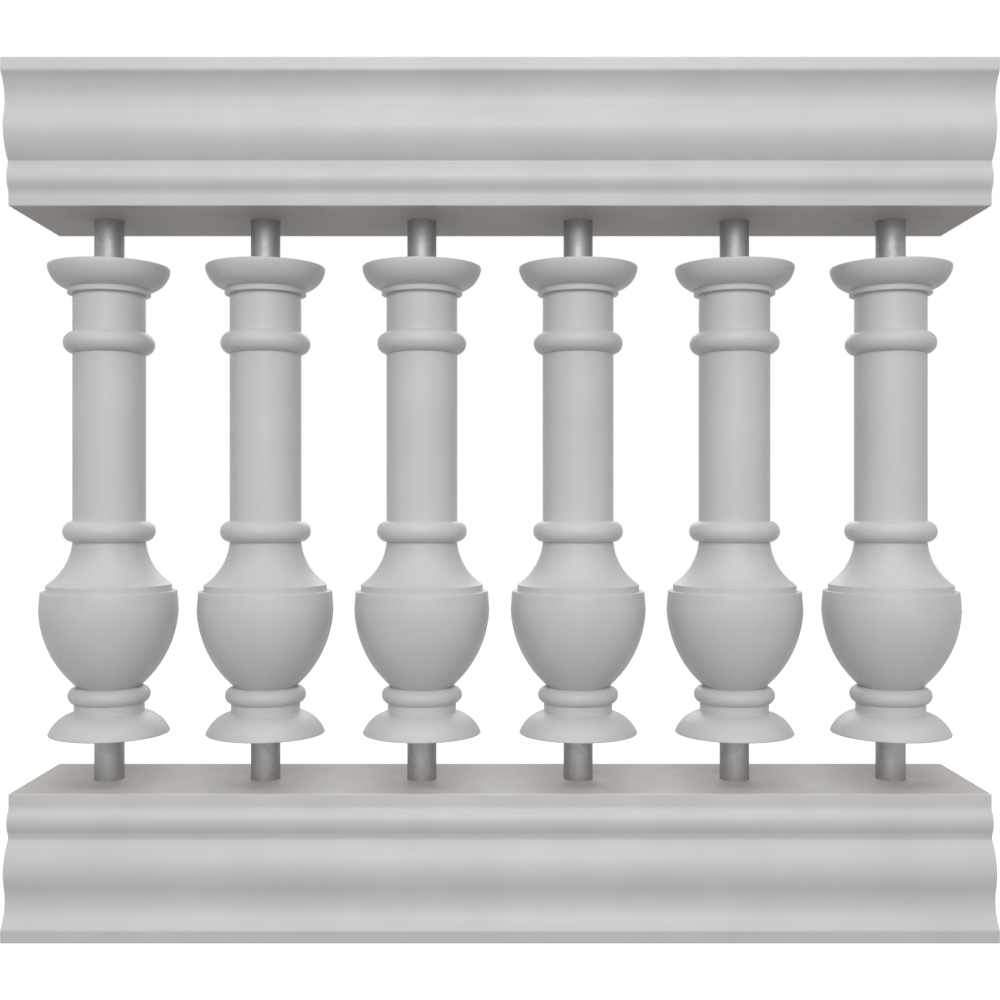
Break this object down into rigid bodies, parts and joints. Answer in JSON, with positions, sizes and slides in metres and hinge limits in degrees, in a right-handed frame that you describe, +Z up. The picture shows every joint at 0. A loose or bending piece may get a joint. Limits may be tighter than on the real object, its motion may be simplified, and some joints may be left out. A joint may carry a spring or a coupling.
{
  "type": "fibreglass balustrade",
  "caption": "Straight balustrade section: moulded top and bottom rails joined by a row of turned vase balusters, each threaded on a steel tube that shows bare at both ends.",
  "frame": {"origin": "on the floor, at the middle of the bottom rail's base face", "axes": "+X along the rails, -Y towards the front (the two long sides are alike), +Z up"},
  "size_m": [1.219, 0.235, 1.082],
  "materials": {
    "gelcoat_fibreglass": "satin light grey gelcoat over moulded fibreglass",
    "laminate_plate": "flat fibreglass laminate, warm grey, matt",
    "galvanised_steel": "bare galvanised steel tube, dull"
  },
  "bodies": {
    "root": {"bottom_rail": "gelcoat_fibreglass", "bottom_rail_deck": "laminate_plate", "tube_1": "galvanised_steel", "tube_2": "galvanised_steel", "tube_3": "galvanised_steel", "tube_4": "galvanised_steel", "tube_5": "galvanised_steel", "tube_6": "galvanised_steel", "baluster_1": "gelcoat_fibreglass", "baluster_2": "gelcoat_fibreglass", "baluster_3": "gelcoat_fibreglass", "baluster_4": "gelcoat_fibreglass", "baluster_5": "gelcoat_fibreglass", "baluster_6": "gelcoat_fibreglass", "top_rail_soffit": "laminate_plate", "top_rail": "gelcoat_fibreglass"}
  },
  "joints": []
}
